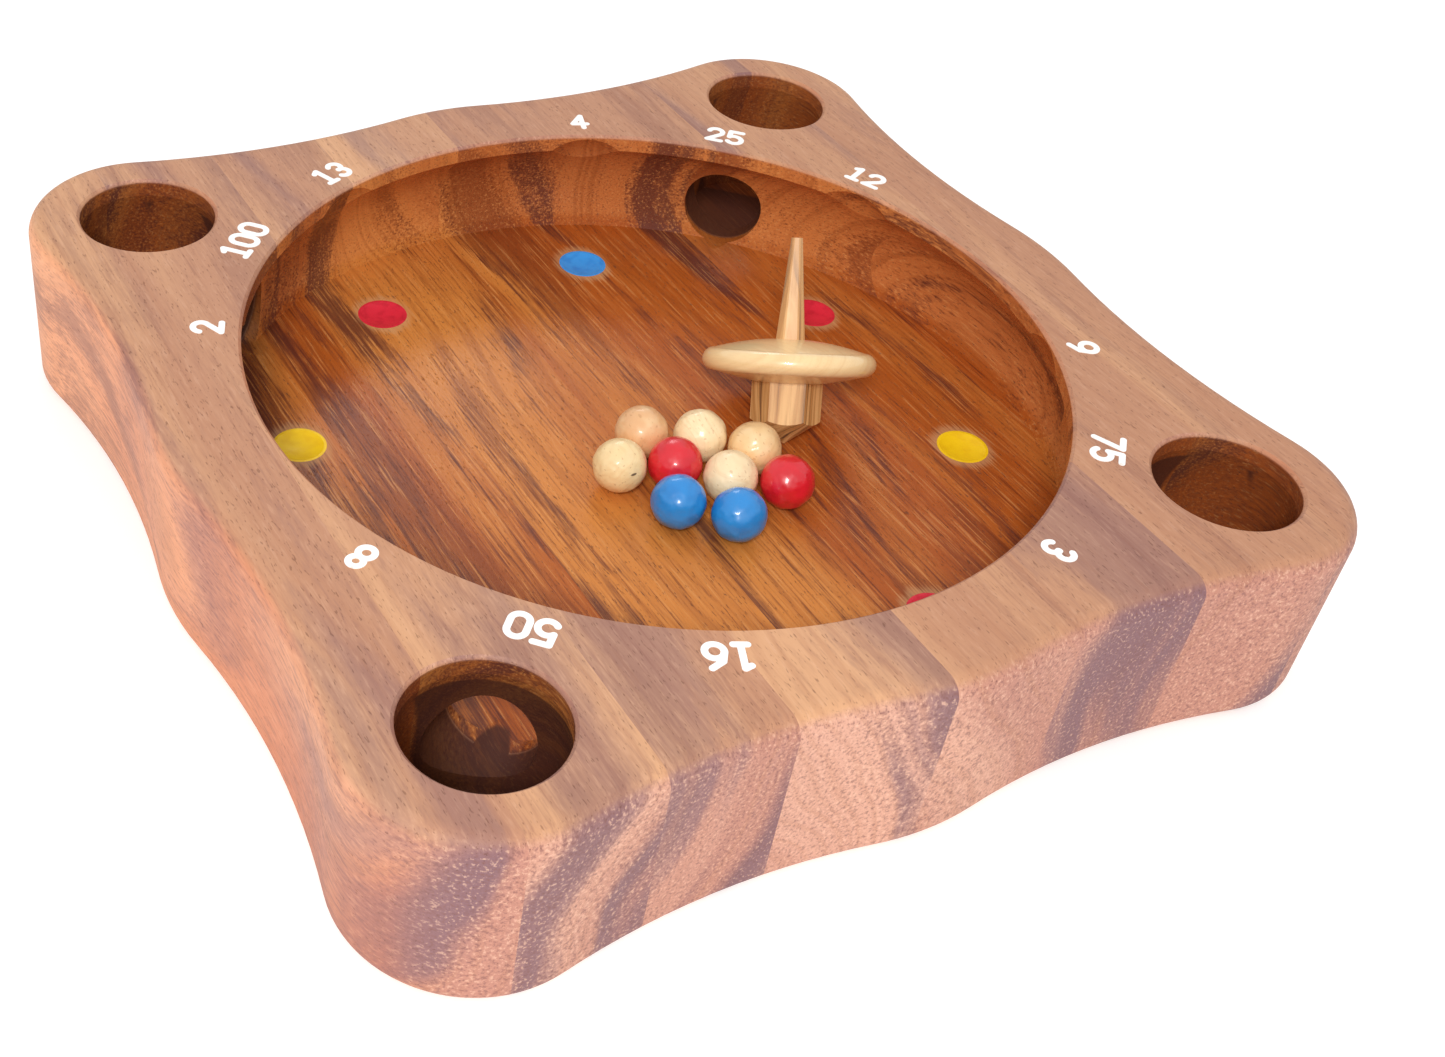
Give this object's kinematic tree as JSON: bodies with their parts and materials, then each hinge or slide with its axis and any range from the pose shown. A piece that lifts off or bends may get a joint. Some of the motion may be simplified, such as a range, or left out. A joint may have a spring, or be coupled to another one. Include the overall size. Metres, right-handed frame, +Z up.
{
  "type": "tyrolean roulette game",
  "caption": "Wavy wooden block with a round basin, corner pockets fed by drilled runs, painted dimples, printed scores, loose balls and a leaning lens-shaped spinning top.",
  "frame": {"origin": "centre of the board's flat underside", "axes": "+Z up through the open face of the basin, planks and grain run along Y, the end-grain side with the number 50 and 75 pockets is at -Y"},
  "size_m": [0.2764, 0.2764, 0.0644],
  "materials": {
    "board_wood": "oiled, satin",
    "paint_red": "enamel paint",
    "paint_blue": "enamel paint",
    "paint_yellow": "enamel paint",
    "ink_white": "screen printed ink",
    "ball_natural": "satin lacquer",
    "ball_red": "satin paint over wood",
    "ball_blue": "satin paint over wood",
    "disc_wood": "gloss lacquer",
    "spindle_wood": "waxed, satin"
  },
  "bodies": {
    "board": {"plank_1": "board_wood", "plank_2": "board_wood", "plank_3": "board_wood", "plank_4": "board_wood", "plank_5": "board_wood", "plank_6": "board_wood", "plank_7": "board_wood", "plank_8": "board_wood", "dimple_1": "paint_red", "dimple_2": "paint_blue", "dimple_3": "paint_red", "dimple_4": "paint_yellow", "dimple_5": "paint_red", "dimple_6": "paint_blue", "dimple_7": "paint_red", "dimple_8": "paint_yellow", "number_12": "ink_white", "number_25": "ink_white", "number_4": "ink_white", "number_13": "ink_white", "number_100": "ink_white", "number_2": "ink_white", "number_8": "ink_white", "number_50": "ink_white", "number_16": "ink_white", "number_3": "ink_white", "number_75": "ink_white", "number_9": "ink_white"},
    "ball_natural_1_body": {"ball_natural_1": "ball_natural"},
    "ball_natural_2_body": {"ball_natural_2": "ball_natural"},
    "ball_natural_3_body": {"ball_natural_3": "ball_natural"},
    "ball_natural_4_body": {"ball_natural_4": "ball_natural"},
    "ball_natural_5_body": {"ball_natural_5": "ball_natural"},
    "ball_red_1_body": {"ball_red_1": "ball_red"},
    "ball_red_2_body": {"ball_red_2": "ball_red"},
    "ball_blue_1_body": {"ball_blue_1": "ball_blue"},
    "ball_blue_2_body": {"ball_blue_2": "ball_blue"},
    "top": {"top_disc": "disc_wood", "top_spindle": "spindle_wood"}
  },
  "joints": [
    {"name": "ball_natural_1_lift", "type": "slide", "parent": "board", "child": "ball_natural_1_body", "axis": [0, 0, 1], "range_m": [0, 0.07]},
    {"name": "ball_natural_2_lift", "type": "slide", "parent": "board", "child": "ball_natural_2_body", "axis": [0, 0, 1], "range_m": [0, 0.07]},
    {"name": "ball_natural_3_lift", "type": "slide", "parent": "board", "child": "ball_natural_3_body", "axis": [0, 0, 1], "range_m": [0, 0.07]},
    {"name": "ball_natural_4_lift", "type": "slide", "parent": "board", "child": "ball_natural_4_body", "axis": [-0.106, -0.09, 0.9903], "range_m": [0, 0.045]},
    {"name": "ball_natural_5_lift", "type": "slide", "parent": "board", "child": "ball_natural_5_body", "axis": [0, 0, 1], "range_m": [0, 0.07]},
    {"name": "ball_red_1_lift", "type": "slide", "parent": "board", "child": "ball_red_1_body", "axis": [0, 0, 1], "range_m": [0, 0.07]},
    {"name": "ball_red_2_lift", "type": "slide", "parent": "board", "child": "ball_red_2_body", "axis": [0, 0, 1], "range_m": [0, 0.07]},
    {"name": "ball_blue_1_lift", "type": "slide", "parent": "board", "child": "ball_blue_1_body", "axis": [0, 0, 1], "range_m": [0, 0.07]},
    {"name": "ball_blue_2_lift", "type": "slide", "parent": "board", "child": "ball_blue_2_body", "axis": [0, 0, 1], "range_m": [0, 0.07]},
    {"name": "top_spin", "type": "hinge", "parent": "board", "child": "top", "pos_m": [0.0397, -0.0134, 0.01529], "axis": [0.231, 0.4932, 0.8387], "continuous": true}
  ]
}
